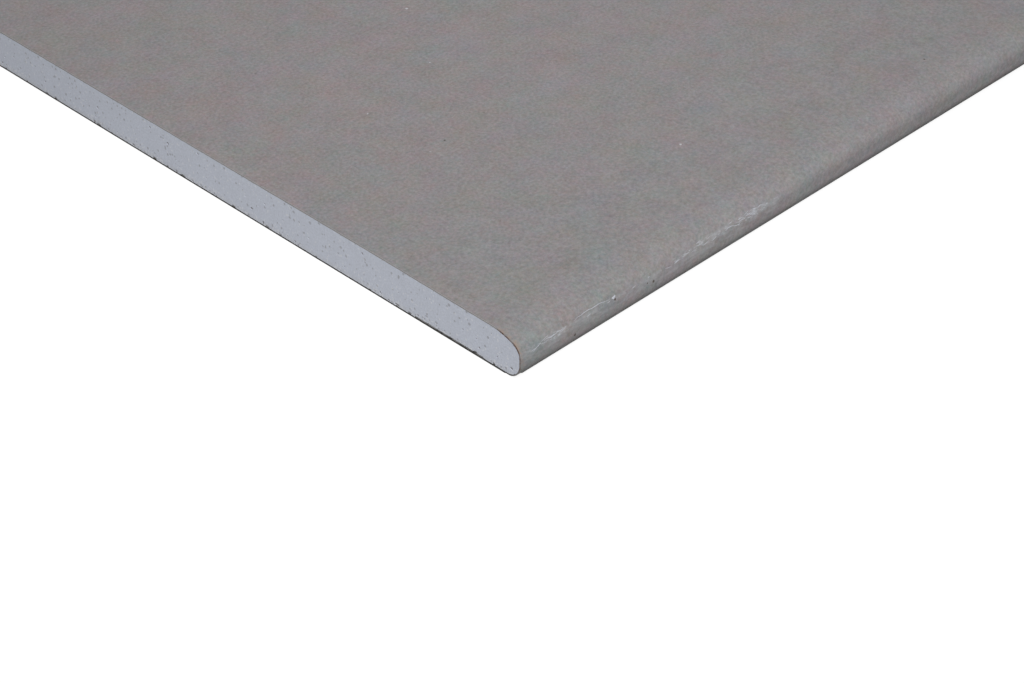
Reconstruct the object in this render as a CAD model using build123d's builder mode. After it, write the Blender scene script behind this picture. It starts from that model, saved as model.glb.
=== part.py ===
"""Gypsum board, lying face up: a cast gypsum core between two papers.

The two long edges are tapered and half-round. The face paper wraps round them
and runs on under the back paper. The two ends are sawn square, so they show the
bare core between the papers.

X runs along the sheet, Y across it and Z up through it. The origin is the middle
of the back, which is the side that the sheet lies on. All sizes are millimetres.
"""

from build123d import *

import os
from math import atan2, cos, degrees, radians, sin, tan

# Sheet
sheet_length = 2000.0
sheet_width = 1250.0
sheet_thickness = 12.5

# Papers
face_paper_thickness = 0.4
back_paper_thickness = 0.4

# Long edge in section, from the face round to the back
taper_width = 50.0  # from the edge in to where the face begins to fall
taper_depth = 0.5  # fall of the taper, measured out at the edge itself
shoulder_radius = 22.0
shoulder_slope = 21.0  # degrees, where the shoulder meets the nose
nose_flat = 2.0  # upright stretch at the widest point
back_radius = 4.4

# Lap on the back, where the face paper goes under the back paper
flap_width = 12.0  # strip of face paper left in view beside the back paper
flap_recess = 0.1  # the flap lies this much higher than the back paper
seam_gap = 0.3  # from the back paper's edge to the crease
crease_width = 1.2
lap_width = 23.5  # face paper hidden under the back paper

half_width = sheet_width / 2
taper_angle = atan2(taper_depth, taper_width)
slope = radians(shoulder_slope)

# Centres of the arcs, as (Y, Z). The nose takes the height that the shoulder, the
# flat and the back radius leave, so the taper always ends level with the face.
nose_foot = flap_recess + back_radius
nose_top = nose_foot + nose_flat
shoulder_run = shoulder_radius * (sin(slope) - sin(taper_angle))
shoulder_rise = shoulder_radius * (cos(taper_angle) - cos(slope))
taper_fall = (taper_width - shoulder_run) * tan(taper_angle)
nose_height = sheet_thickness - nose_top - shoulder_rise - taper_fall
nose_radius = nose_height / (cos(slope) - (1 - sin(slope)) * tan(taper_angle))

back_centre = (half_width - back_radius, nose_foot)
nose_centre = (half_width - nose_radius, nose_top)
shoulder_reach = shoulder_radius - nose_radius
shoulder_centre = (
    nose_centre[0] - shoulder_reach * sin(slope),
    nose_centre[1] - shoulder_reach * cos(slope),
)

# Places on the back, as distances from the middle of the sheet
crease_foot = half_width - flap_width
crease_top = crease_foot - crease_width
back_paper_edge = crease_top - seam_gap
lap_end = back_paper_edge - lap_width


def wrap_line(depth):
    """Draw one side of the face paper, from its end in the lap to the middle of the face.

    The line lies at this depth under the paper's outer surface. The arcs keep
    their centres, so two such lines are one paper thickness apart all the way.
    """
    Polyline(
        (lap_end, back_paper_thickness + depth),
        (crease_top, back_paper_thickness + depth),
        (crease_foot, flap_recess + depth),
        (back_centre[0], flap_recess + depth),
    )
    CenterArc(back_centre, back_radius - depth, 270, 90)
    Line((half_width - depth, nose_foot), (half_width - depth, nose_top))
    CenterArc(nose_centre, nose_radius - depth, 0, 90 - shoulder_slope)
    shoulder = CenterArc(
        shoulder_centre,
        shoulder_radius - depth,
        90 - shoulder_slope,
        shoulder_slope - degrees(taper_angle),
    )
    taper_end = shoulder @ 1
    face_height = sheet_thickness - depth
    taper_run = (face_height - taper_end.Y) / tan(taper_angle)
    Polyline(taper_end, (taper_end.X - taper_run, face_height), (0, face_height))


with BuildPart() as gypsum_core:
    with BuildSketch(Plane.YZ):
        with BuildLine():
            wrap_line(face_paper_thickness)
            Polyline(
                (lap_end, back_paper_thickness + face_paper_thickness),
                (lap_end, back_paper_thickness),
                (0, back_paper_thickness),
            )
            mirror(about=Plane.YZ)
        make_face()
    extrude(amount=sheet_length / 2, both=True)

with BuildPart() as face_paper:
    with BuildSketch(Plane.YZ):
        with BuildLine():
            wrap_line(0)
            wrap_line(face_paper_thickness)
            Line(
                (lap_end, back_paper_thickness),
                (lap_end, back_paper_thickness + face_paper_thickness),
            )
            mirror(about=Plane.YZ)
        make_face()
    extrude(amount=sheet_length / 2, both=True)

with BuildPart() as back_paper:
    with BuildSketch(Plane.YZ):
        Rectangle(
            2 * back_paper_edge,
            back_paper_thickness,
            align=(Align.CENTER, Align.MIN),
        )
    extrude(amount=sheet_length / 2, both=True)

gypsum_core.part.label = "gypsum_core"
face_paper.part.label = "face_paper"
back_paper.part.label = "back_paper"

os.makedirs("parts", exist_ok=True)
for piece in (gypsum_core, face_paper, back_paper):
    export_step(piece.part, f"parts/{piece.part.label}.step")

print("nose radius", round(nose_radius, 3), "taper angle", round(degrees(taper_angle), 3))
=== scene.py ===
"""Looks of one sheet of gypsum board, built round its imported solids.

The sheet lies face up. X runs along it, Y across it and Z up through it, in metres,
with the origin in the middle of the back. The face paper wraps round both tapered
long edges, and the two ends are sawn, so they show the porous core between the papers.
"""

import logging
from dataclasses import dataclass, field, replace
from enum import Enum
from math import atan2, ceil, cos, hypot, pi, radians, sin, tan
from typing import Any

import bmesh
import bpy
from mathutils import Matrix, Vector, noise


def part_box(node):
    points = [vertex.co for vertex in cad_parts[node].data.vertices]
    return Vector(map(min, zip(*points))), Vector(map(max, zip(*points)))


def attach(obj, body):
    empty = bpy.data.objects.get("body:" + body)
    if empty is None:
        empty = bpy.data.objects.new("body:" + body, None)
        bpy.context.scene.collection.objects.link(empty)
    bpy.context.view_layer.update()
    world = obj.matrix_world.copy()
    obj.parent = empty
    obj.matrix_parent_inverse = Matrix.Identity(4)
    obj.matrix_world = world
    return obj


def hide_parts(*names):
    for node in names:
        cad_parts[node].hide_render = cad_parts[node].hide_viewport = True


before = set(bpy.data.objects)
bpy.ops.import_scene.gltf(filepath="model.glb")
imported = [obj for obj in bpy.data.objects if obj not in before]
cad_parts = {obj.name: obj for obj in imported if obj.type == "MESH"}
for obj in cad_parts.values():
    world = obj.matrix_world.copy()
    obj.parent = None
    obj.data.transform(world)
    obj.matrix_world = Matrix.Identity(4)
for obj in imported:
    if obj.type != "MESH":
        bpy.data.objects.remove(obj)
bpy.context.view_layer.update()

MM = 0.001
BODY = "root"
WEAR_ATTRIBUTE = "worn"
LOG = logging.getLogger("gypsum_board")

Colour = tuple[float, float, float]
Point = tuple[float, float]
Band = tuple[float, float]
WHITE: Colour = (1.0, 1.0, 1.0)


class Slot(Enum):
    """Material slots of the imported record."""

    GYPSUM = "gypsum"
    FACE_PAPER = "face_paper"
    BACK_PAPER = "back_paper"


class SawnEnd(Enum):
    """The two sawn ends, by the sign of their X."""

    A = -1
    B = 1


class LampKind(Enum):
    """A wide, soft disk or a cone with a faded rim."""

    DISK = "AREA"
    CONE = "SPOT"


class Socket(Enum):
    """Kinds of socket that the node groups and trees have."""

    VALUE = "NodeSocketFloat"
    WHOLE = "NodeSocketInt"
    VECTOR = "NodeSocketVector"
    COLOUR = "NodeSocketColor"
    GEOMETRY = "NodeSocketGeometry"
    MATERIAL = "NodeSocketMaterial"


def numbers(*names: str) -> dict[str, Socket]:
    """Name sockets that hold plain numbers."""
    return dict.fromkeys(names, Socket.VALUE)


class Tree:
    """A node tree, with short calls that add a node and join its sockets."""

    def __init__(self, tree: bpy.types.NodeTree) -> None:
        """Keep the tree that the nodes go into."""
        self.tree = tree

    def declare(self, sockets: dict[str, Socket], in_out: str) -> None:
        """Give the tree named inputs or outputs.

        Args:
            sockets: Kinds of the sockets, by name.
            in_out: INPUT or OUTPUT.
        """
        for name, kind in sockets.items():
            self.tree.interface.new_socket(name, in_out=in_out, socket_type=kind.value)

    def node(self, kind: str, inputs: dict[Any, Any] | None = None, **options: Any) -> bpy.types.Node:
        """Add a node.

        Args:
            kind: Blender's name for the type of node.
            inputs: Values or other nodes' sockets, by the name or number of the input.
            options: The node's own options, by name.

        Returns:
            The new node.
        """
        made = self.tree.nodes.new(kind)
        for name, value in options.items():
            setattr(made, name, value)
        for key, value in (inputs or {}).items():
            self.feed(made.inputs[key], value)
        return made

    def feed(self, socket: bpy.types.NodeSocket, value: Any) -> None:
        """Link a socket to another node's output, or set its value.

        Args:
            socket: The input.
            value: An output socket or a plain value.
        """
        if isinstance(value, bpy.types.NodeSocket):
            self.tree.links.new(value, socket)
        else:
            socket.default_value = value

    def math(self, operation: str, *terms: Any, clamp: bool = False) -> bpy.types.NodeSocket:
        """Work out a number.

        Args:
            operation: Name of the Math node's operation.
            terms: The terms, as values or sockets.
            clamp: Whether the result is kept between 0 and 1.

        Returns:
            The result's socket.
        """
        made = self.node("ShaderNodeMath", dict(enumerate(terms)), operation=operation, use_clamp=clamp)
        return made.outputs[0]

    def vector(self, operation: str, *terms: Any) -> bpy.types.NodeSocket:
        """Work out a vector.

        Args:
            operation: Name of the Vector Math node's operation.
            terms: The terms, as values or sockets.

        Returns:
            The result's socket, which is a number for a length or a distance.
        """
        made = self.node("ShaderNodeVectorMath", dict(enumerate(terms)), operation=operation)
        return made.outputs["Value" if operation in ("LENGTH", "DISTANCE") else "Vector"]

    def split(self, vector: bpy.types.NodeSocket) -> tuple[bpy.types.NodeSocket, ...]:
        """Give the X, Y and Z of a vector."""
        return tuple(self.node("ShaderNodeSeparateXYZ", {0: vector}).outputs)

    def ramp(self, value: Any, start: Any, end: Any, low: Any = 0.0, high: Any = 1.0) -> bpy.types.NodeSocket:
        """Blend smoothly between two results while a value goes from start to end.

        Args:
            value: What decides the blend.
            start: Value at which the blend begins.
            end: Value at which it is complete.
            low: Result before the start.
            high: Result after the end.

        Returns:
            The result's socket.
        """
        inputs = {"Value": value, "From Min": start, "From Max": end, "To Min": low, "To Max": high}
        return self.node("ShaderNodeMapRange", inputs, interpolation_type="SMOOTHSTEP").outputs[0]

    def swing(self, value: Any, strength: Any, base: Any) -> bpy.types.NodeSocket:
        """Move a base up and down with a value that lies between 0 and 1.

        Args:
            value: The value, which moves nothing at 0.5.
            strength: How far the base moves from one end of the value to the other.
            base: What is moved.

        Returns:
            The result's socket.
        """
        return self.math("MULTIPLY_ADD", self.math("SUBTRACT", value, 0.5), strength, base)

    def noise(self, vector: Any, size: Any, detail: float = 2.0, rough: float = 0.6) -> bpy.types.Node:
        """Add a noise texture whose coarsest lumps have a given size.

        Args:
            vector: Where the noise is read.
            size: Width of a lump.
            detail: Octaves of finer noise on top.
            rough: Share that each octave keeps of the one before.

        Returns:
            The noise node.
        """
        scale = self.math("DIVIDE", 1.0, size)
        inputs = {"Vector": vector, "Scale": scale, "Detail": detail, "Roughness": rough}
        return self.node("ShaderNodeTexNoise", inputs)

    def blend(self, share: Any, first: Any, second: Any) -> bpy.types.NodeSocket:
        """Blend from one colour to another.

        Args:
            share: Share of the second colour.
            first: Colour where the share is 0.
            second: Colour where the share is 1.

        Returns:
            The blended colour's socket.
        """
        made = self.node("ShaderNodeMix", data_type="RGBA", clamp_factor=True)
        for number, value in ((0, share), (6, first), (7, second)):
            self.feed(made.inputs[number], rgba(value) if isinstance(value, tuple) else value)
        return made.outputs[2]


def rgba(colour: Colour) -> tuple[float, float, float, float]:
    """Add full opacity to a colour."""
    return (*colour, 1.0)


class EffectGroup(Tree):
    """A shader effect that several materials place, each with its own values."""

    def __init__(self, name: str, inputs: dict[str, Socket], outputs: dict[str, Socket]) -> None:
        """Make the empty group.

        Args:
            name: Name of the group.
            inputs: Kinds of the inputs, by name.
            outputs: Kinds of the outputs, by name.
        """
        super().__init__(bpy.data.node_groups.new(name, "ShaderNodeTree"))
        self.declare(inputs, "INPUT")
        self.declare(outputs, "OUTPUT")
        self.given = self.node("NodeGroupInput").outputs
        self.result = self.node("NodeGroupOutput").inputs

    def place(self, tree: Tree, **values: Any) -> bpy.types.Node:
        """Place the group in a material.

        Args:
            tree: The material's tree.
            values: Values or sockets, by the input's name with _ for a space.

        Returns:
            The placed group's node.
        """
        inputs = {name.replace("_", " "): value for name, value in values.items()}
        return tree.node("ShaderNodeGroup", inputs, node_tree=self.tree)


class FibreGrain(EffectGroup):
    """Matted fibres or fine grit, with slow clouds under them."""

    GRAIN_DETAIL = 2.0
    GRAIN_ROUGHNESS = 0.75
    CLOUD_DETAIL = 4.0
    CLOUD_ROUGHNESS = 0.82
    FINE_HUE = 0.65

    def __init__(self) -> None:
        """Build the group."""
        sizes = numbers("Grain Size", "Grain Strength", "Cloud Size", "Cloud Strength")
        results = numbers("Tone", "Warmth", "Blueness", "Height")
        super().__init__("fibre_grain", {"Position": Socket.VECTOR, **sizes}, results)
        given = self.given
        fine = self.noise(given["Position"], given["Grain Size"], self.GRAIN_DETAIL, self.GRAIN_ROUGHNESS)
        slow = self.noise(given["Position"], given["Cloud Size"], self.CLOUD_DETAIL, self.CLOUD_ROUGHNESS)
        grain, *fine_hues = self.split(fine.outputs["Color"])
        cloud, *slow_hues = self.split(slow.outputs["Color"])
        for name, fine_hue, slow_hue in zip(("Warmth", "Blueness"), fine_hues, slow_hues):
            mixed = self.swing(fine_hue, self.FINE_HUE, slow_hue)
            self.feed(self.result[name], self.math("SUBTRACT", mixed, 0.5))
        tone = self.swing(grain, given["Grain Strength"], 1.0)
        self.feed(self.result["Tone"], self.swing(cloud, given["Cloud Strength"], tone))
        self.feed(self.result["Height"], grain)


class Flecks(EffectGroup):
    """Scattered specks of uneven size, as dots no larger than a given size."""

    SOLID_SHARE = 0.6

    def __init__(self) -> None:
        """Build the group."""
        sizes = {"Position": Socket.VECTOR, **numbers("Spacing", "Size", "Share")}
        super().__init__("flecks", sizes, numbers("Mask"))
        given = self.given
        scale = self.math("DIVIDE", 1.0, given["Spacing"])
        cells = self.node("ShaderNodeTexVoronoi", {"Vector": given["Position"], "Scale": scale})
        chance, width, _ = self.split(cells.outputs["Color"])
        ragged = self.noise(given["Position"], given["Size"], 1.0).outputs[0]
        reach = self.math("MULTIPLY", self.math("MULTIPLY", width, ragged), given["Size"])
        reach = self.math("MULTIPLY", reach, scale)
        solid = self.math("MULTIPLY", reach, self.SOLID_SHARE)
        inside = self.ramp(cells.outputs["Distance"], solid, reach, 1.0, 0.0)
        chosen = self.math("LESS_THAN", chance, given["Share"])
        self.feed(self.result["Mask"], self.math("MULTIPLY", inside, chosen))


class Spot(EffectGroup):
    """One mark at a chosen place, with a ragged outline."""

    SOLID_SHARE = 0.5

    def __init__(self) -> None:
        """Build the group."""
        sizes = {"Position": Socket.VECTOR, "Centre": Socket.VECTOR, "Radius": Socket.VALUE}
        super().__init__("spot", sizes, numbers("Mask"))
        given = self.given
        apart = self.vector("DISTANCE", given["Position"], given["Centre"])
        ragged = self.noise(given["Position"], given["Radius"], 1.0).outputs[0]
        reach = self.math("MULTIPLY", given["Radius"], self.math("ADD", ragged, 0.5))
        inside = self.ramp(apart, self.math("MULTIPLY", reach, self.SOLID_SHARE), reach, 1.0, 0.0)
        self.feed(self.result["Mask"], inside)


class SawnEdgeMask(EffectGroup):
    """How near a point is to either sawn end, with a broken border."""

    LUMP_SHARE = 0.6

    def __init__(self) -> None:
        """Build the group."""
        sizes = {"Position": Socket.VECTOR, **numbers("Half Length", "Reach", "Break Up")}
        super().__init__("sawn_edge_mask", sizes, numbers("Mask"))
        given = self.given
        along = self.math("ABSOLUTE", self.split(given["Position"])[0])
        inward = self.math("SUBTRACT", given["Half Length"], along)
        lump = self.math("MULTIPLY", given["Reach"], self.LUMP_SHARE)
        broken = self.noise(given["Position"], lump, 2.0).outputs[0]
        shift = self.math("MULTIPLY", self.math("SUBTRACT", broken, 0.5), given["Break Up"])
        share = self.math("SUBTRACT", 1.0, self.math("DIVIDE", inward, given["Reach"]))
        self.feed(self.result["Mask"], self.math("ADD", share, shift, clamp=True))


class RubMask(EffectGroup):
    """Pale haze and streaks where a stretch of the near long edge has been rubbed."""

    FADE_ALONG = 3.0 * MM
    FADE_UP = 0.9 * MM
    STREAK_WIDTH = 0.34 * MM
    STREAK_DRAW = (0.25, 1.0, 1.0)
    STREAK_BAND: Band = (0.5, 0.66)
    PATCH_WIDTH = 1.6 * MM
    PATCH_DRAW = (0.45, 1.0, 1.0)
    PATCH_BAND: Band = (0.42, 0.62)
    HAZE_BAND: Band = (0.36, 0.62)
    THIN_HAZE = 0.1

    def __init__(self) -> None:
        """Build the group."""
        sizes = {"Position": Socket.VECTOR, **numbers("Start", "End", "Low", "High", "Streaks", "Haze")}
        super().__init__("rub_mask", sizes, numbers("Mask"))
        given = self.given
        along, across, up = self.split(given["Position"])
        mask = self.window(along, given["Start"], given["End"], self.FADE_ALONG)
        mask = self.math("MULTIPLY", mask, self.window(up, given["Low"], given["High"], self.FADE_UP))
        mask = self.math("MULTIPLY", mask, self.math("LESS_THAN", across, 0.0))
        drawn_out = self.vector("MULTIPLY", given["Position"], self.STREAK_DRAW)
        fine = self.noise(drawn_out, self.STREAK_WIDTH, 3.0, 0.7).outputs[0]
        slower = self.vector("MULTIPLY", given["Position"], self.PATCH_DRAW)
        patches = self.noise(slower, self.PATCH_WIDTH, 3.0, 0.65).outputs[0]
        patchy = self.ramp(patches, *self.PATCH_BAND)
        streaks = self.math("MULTIPLY", self.ramp(fine, *self.STREAK_BAND), patchy)
        streaks = self.math("MULTIPLY", streaks, given["Streaks"])
        haze = self.ramp(patches, *self.HAZE_BAND, self.THIN_HAZE, 1.0)
        both = self.math("ADD", streaks, self.math("MULTIPLY", haze, given["Haze"]))
        self.feed(self.result["Mask"], self.math("MULTIPLY", mask, both))

    def window(self, value: Any, start: Any, end: Any, fade: float) -> bpy.types.NodeSocket:
        """Give 1 between two values and 0 outside them.

        Args:
            value: The value to test.
            start: Where the window opens.
            end: Where it closes.
            fade: Width of the soft border, half of it on each side.

        Returns:
            The result's socket.
        """
        half = fade / 2
        opened = self.ramp(value, self.math("SUBTRACT", start, half), self.math("ADD", start, half))
        closed = self.ramp(value, self.math("SUBTRACT", end, half), self.math("ADD", end, half), 1.0, 0.0)
        return self.math("MULTIPLY", opened, closed)


@dataclass
class Effects:
    """The shared shader effects, each built once."""

    grain: FibreGrain = field(default_factory=FibreGrain)
    flecks: Flecks = field(default_factory=Flecks)
    spot: Spot = field(default_factory=Spot)
    sawn_edge: SawnEdgeMask = field(default_factory=SawnEdgeMask)
    rub: RubMask = field(default_factory=RubMask)


@dataclass(frozen=True)
class SheetSize:
    """Overall sizes of the sheet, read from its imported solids."""

    half_length: float
    half_width: float
    thickness: float
    paper: float
    back_edge: float

    @classmethod
    def from_frame(cls) -> "SheetSize":
        """Read the sizes from the corners of the two papers' boxes.

        Returns:
            The sizes.
        """
        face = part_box("face_paper")[1]
        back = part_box("back_paper")[1]
        return cls(face.x, face.y, face.z, back.z, back.y)


@dataclass(frozen=True)
class EdgeSection:
    """Section through a tapered, half-round long edge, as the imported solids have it."""

    size: SheetSize
    taper_width: float = 50 * MM
    taper_depth: float = 0.5 * MM
    shoulder_radius: float = 22 * MM
    shoulder_slope: float = radians(21)
    nose_flat: float = 2 * MM
    back_radius: float = 4.4 * MM
    flap_width: float = 12 * MM
    flap_recess: float = 0.1 * MM
    crease_width: float = 1.2 * MM
    seam_gap: float = 0.3 * MM
    lap_width: float = 23.5 * MM
    arc_step: float = radians(2.5)
    face_step: float = 25 * MM

    @property
    def taper_angle(self) -> float:
        """Slope of the taper."""
        return atan2(self.taper_depth, self.taper_width)

    @property
    def nose_foot(self) -> float:
        """Height at which the back arc ends and the upright stretch begins."""
        return self.flap_recess + self.back_radius

    @property
    def nose_top(self) -> float:
        """Height at which the upright stretch ends and the nose arc begins."""
        return self.nose_foot + self.nose_flat

    @property
    def nose_radius(self) -> float:
        """Radius that brings the nose, the shoulder and the taper level with the face.

        Returns:
            The radius.
        """
        slope, taper = self.shoulder_slope, self.taper_angle
        run = self.shoulder_radius * (sin(slope) - sin(taper))
        rise = self.shoulder_radius * (cos(taper) - cos(slope))
        fall = (self.taper_width - run) * tan(taper)
        height = self.size.thickness - self.nose_top - rise - fall
        return height / (cos(slope) - (1 - sin(slope)) * tan(taper))

    @property
    def lap_end(self) -> float:
        """Distance from the middle of the sheet to the face paper's end under the back paper."""
        covered = self.crease_width + self.seam_gap + self.lap_width
        return self.size.half_width - self.flap_width - covered

    def arc(self, centre: Point, radius: float, start: float, end: float) -> list[Point]:
        """Divide an arc into short, equal steps.

        Args:
            centre: Its centre, as (Y, Z).
            radius: Its radius.
            start: Angle of its first point, from +Y towards +Z.
            end: Angle of its last point.

        Returns:
            Points from the start to the end.
        """
        steps = ceil(abs(end - start) / self.arc_step)
        angles = [start + (end - start) * k / steps for k in range(steps + 1)]
        return [(centre[0] + radius * cos(a), centre[1] + radius * sin(a)) for a in angles]

    def wrap(self, depth: float) -> list[Point]:
        """Draw the face paper's line from the middle of the face to its end in the lap.

        Args:
            depth: How deep the line lies under the paper's outer surface.

        Returns:
            Points as (Y, Z), all with Y at or above 0.
        """
        width, height = self.size.half_width, self.size.thickness - depth
        nose = (width - self.nose_radius, self.nose_top)
        reach = self.shoulder_radius - self.nose_radius
        slope = self.shoulder_slope
        shoulder = (nose[0] - reach * sin(slope), nose[1] - reach * cos(slope))
        slope_end, taper_end = pi / 2 - slope, pi / 2 - self.taper_angle
        arcs = self.arc(shoulder, self.shoulder_radius - depth, taper_end, slope_end)[:-1]
        arcs += self.arc(nose, self.nose_radius - depth, slope_end, 0)
        back = (width - self.back_radius, self.nose_foot)
        arcs += self.arc(back, self.back_radius - depth, 0, -pi / 2)
        taper_start = arcs[0][0] - (height - arcs[0][1]) / tan(self.taper_angle)
        steps = ceil(taper_start / self.face_step)
        face = [(taper_start * k / steps, height) for k in range(steps + 1)]
        crease_foot = width - self.flap_width
        crease_top = crease_foot - self.crease_width
        lap_height = self.size.paper + depth
        lap = [(crease_foot, self.flap_recess + depth), (crease_top, lap_height)]
        lap.append((self.lap_end, lap_height))
        return face + arcs + lap

    def across(self, depth: float) -> list[Point]:
        """Draw the whole line, from the lap at the near edge to the lap at the far edge.

        Args:
            depth: How deep the line lies under the paper's outer surface.

        Returns:
            Points as (Y, Z).
        """
        half = self.wrap(depth)
        return [(-y, z) for y, z in reversed(half[1:])] + half

    def on_nose(self, rise: float, depth: float = 0.0) -> Point:
        """Find a point of the nose by its distance round it.

        Args:
            rise: Distance round the nose, upwards from where its arc begins.
            depth: How deep the point lies under the surface.

        Returns:
            The point, as (Y, Z).
        """
        if rise <= 0:
            return (self.size.half_width - depth, self.nose_top + rise)
        turn = rise / self.nose_radius
        radius = self.nose_radius - depth
        centre = self.size.half_width - self.nose_radius
        return (centre + radius * cos(turn), self.nose_top + radius * sin(turn))


@dataclass(frozen=True)
class RubbedStretch:
    """A stretch of the near long edge that has been rubbed pale.

    Distances along the sheet are from its sawn end A, and distances round the nose
    are upwards from where its arc begins.
    """

    start: float
    end: float
    low: float
    high: float
    streaks: float
    haze: float = 0.1

    def along(self, size: SheetSize) -> tuple[float, float]:
        """Give the X of the stretch's start and end."""
        return (self.start - size.half_length, self.end - size.half_length)


@dataclass(frozen=True)
class Mark:
    """A speck on the face paper, at a distance along from sawn end A.

    On the face it lies at a distance in from the near long edge. On the nose it lies
    at a distance upwards from where the nose's arc begins.
    """

    along: float
    across: float
    radius: float
    pale: bool
    on_nose: bool = False

    def centre(self, section: EdgeSection) -> Vector:
        """Find where the speck lies on the face paper.

        Args:
            section: The long edge's section.

        Returns:
            The middle of the speck.
        """
        size = section.size
        x = self.along - size.half_length
        if self.on_nose:
            y, z = section.on_nose(self.across)
            return Vector((x, -y, z))
        fall = max(0.0, section.taper_width - self.across) * tan(section.taper_angle)
        return Vector((x, self.across - size.half_width, size.thickness - fall))


RUBBED = (
    RubbedStretch(-2 * MM, 96 * MM, -1.2 * MM, 1.7 * MM, 0.15, 0.2),
    RubbedStretch(3 * MM, 16 * MM, 0.2 * MM, 2.0 * MM, 0.6, 0.25),
    RubbedStretch(17 * MM, 25 * MM, 0.3 * MM, 1.6 * MM, 0.35),
    RubbedStretch(38 * MM, 43 * MM, 0.6 * MM, 1.9 * MM, 0.3),
    RubbedStretch(55 * MM, 70 * MM, 0.5 * MM, 2.3 * MM, 0.6),
    RubbedStretch(64 * MM, 92 * MM, 0.2 * MM, 2.7 * MM, 0.5, 0.2),
    RubbedStretch(80 * MM, 88 * MM, 0.3 * MM, 2.8 * MM, 0.8),
    RubbedStretch(94 * MM, 98 * MM, 1.2 * MM, 2.1 * MM, 0.5),
)

MARKS = (
    Mark(92.6 * MM, 31.4 * MM, 0.45 * MM, True),
    Mark(91.6 * MM, 137.2 * MM, 0.5 * MM, True),
    Mark(75.0 * MM, 110.0 * MM, 0.3 * MM, True),
    Mark(44.0 * MM, 102.0 * MM, 0.3 * MM, True),
    Mark(49.4 * MM, 77.4 * MM, 0.4 * MM, False),
    Mark(175.0 * MM, 12.8 * MM, 0.4 * MM, False),
    Mark(47.5 * MM, -0.6 * MM, 0.55 * MM, False, on_nose=True),
    Mark(19.0 * MM, -2.3 * MM, 0.5 * MM, False, on_nose=True),
    # Painted shadow: a dark spot just under the torn fleck's curled lower edge.
    Mark(33.4 * MM, 1.0 * MM, 0.45 * MM, False, on_nose=True),
    Mark(45.2 * MM, 0.0 * MM, 0.3 * MM, False, on_nose=True),
)


class MatteMaterial(Tree):
    """A matte material on Object coordinates, whose looks are joined on afterwards."""

    SPECULAR = 0.25
    BUMP_STRENGTH = 0.6

    def __init__(self, name: str, roughness: float) -> None:
        """Make the material.

        Args:
            name: Name of the material.
            roughness: Roughness all over it.
        """
        self.material = bpy.data.materials.new(name)
        self.material.use_nodes = True
        super().__init__(self.material.node_tree)
        self.shader = self.tree.nodes["Principled BSDF"]
        self.shader.inputs["Roughness"].default_value = roughness
        self.shader.inputs["Specular IOR Level"].default_value = self.SPECULAR
        self.position = self.node("ShaderNodeTexCoord").outputs["Object"]

    def tinted(self, colour: Colour, tone: Any) -> bpy.types.NodeSocket:
        """Lighten and darken a colour by a tone.

        Args:
            colour: The colour where the tone is 1.
            tone: Socket of the tone.

        Returns:
            The shaded colour's socket.
        """
        inputs = {0: colour, 1: WHITE, "Scale": tone}
        return self.node("ShaderNodeVectorMath", inputs, operation="SCALE").outputs[0]

    def shifted(self, colour: Any, shift: Colour, amount: Any) -> bpy.types.NodeSocket:
        """Add a share of a shift to a colour.

        Args:
            colour: Socket of the colour so far.
            shift: What is added where the amount is 1.
            amount: Socket of the amount.

        Returns:
            The new colour's socket.
        """
        return self.vector("ADD", colour, self.tinted(shift, amount))

    def finish(self, colour: Any, height: Any, relief: float) -> bpy.types.Material:
        """Join the colour and the relief to the shader.

        Args:
            colour: Socket of the base colour.
            height: Socket of the relief's height, from 0 to 1.
            relief: Depth of the relief.

        Returns:
            The finished material.
        """
        inputs = {"Height": height, "Distance": relief, "Strength": self.BUMP_STRENGTH}
        bump = self.node("ShaderNodeBump", inputs)
        self.feed(self.shader.inputs["Base Color"], colour)
        self.feed(self.shader.inputs["Normal"], bump.outputs[0])
        return self.material


@dataclass(frozen=True)
class Grain:
    """Sizes and strengths of a material's grain and of the clouds under it."""

    size: float
    strength: float
    cloud_size: float
    cloud_strength: float

    def place(self, made: MatteMaterial, effects: Effects) -> Any:
        """Place the grain in a material.

        Args:
            made: The material.
            effects: The shared shader effects.

        Returns:
            The effect's outputs, by name.
        """
        return effects.grain.place(
            made,
            Position=made.position,
            Grain_Size=self.size,
            Grain_Strength=self.strength,
            Cloud_Size=self.cloud_size,
            Cloud_Strength=self.cloud_strength,
        ).outputs


@dataclass(frozen=True)
class Speckle:
    """One kind of speck that is strewn over a material.

    The share is how many of the places hold a speck, and the crowded share is the same
    where the specks are thickest.
    """

    spacing: float
    size: float
    share: float
    strength: float
    crowded: float = 1.0
    shift: Colour | None = None

    def strew(
        self, made: MatteMaterial, effects: Effects, colour: Any, tint: Colour, crowding: Any = None
    ) -> bpy.types.NodeSocket:
        """Strew the specks over a colour.

        Args:
            made: The material.
            effects: The shared shader effects.
            colour: Socket of the colour so far.
            tint: Colour of the specks.
            crowding: Socket of how thickly they lie, or nothing where they lie evenly.

        Returns:
            The new colour's socket.
        """
        place = made.position if self.shift is None else made.vector("ADD", made.position, self.shift)
        share: Any = self.share
        if crowding is not None:
            share = made.ramp(crowding, 0.0, 1.0, self.share, self.crowded)
        specks = effects.flecks.place(made, Position=place, Spacing=self.spacing, Size=self.size, Share=share)
        mask = made.math("MULTIPLY", specks.outputs["Mask"], self.strength)
        return made.blend(mask, colour, tint)


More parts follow.
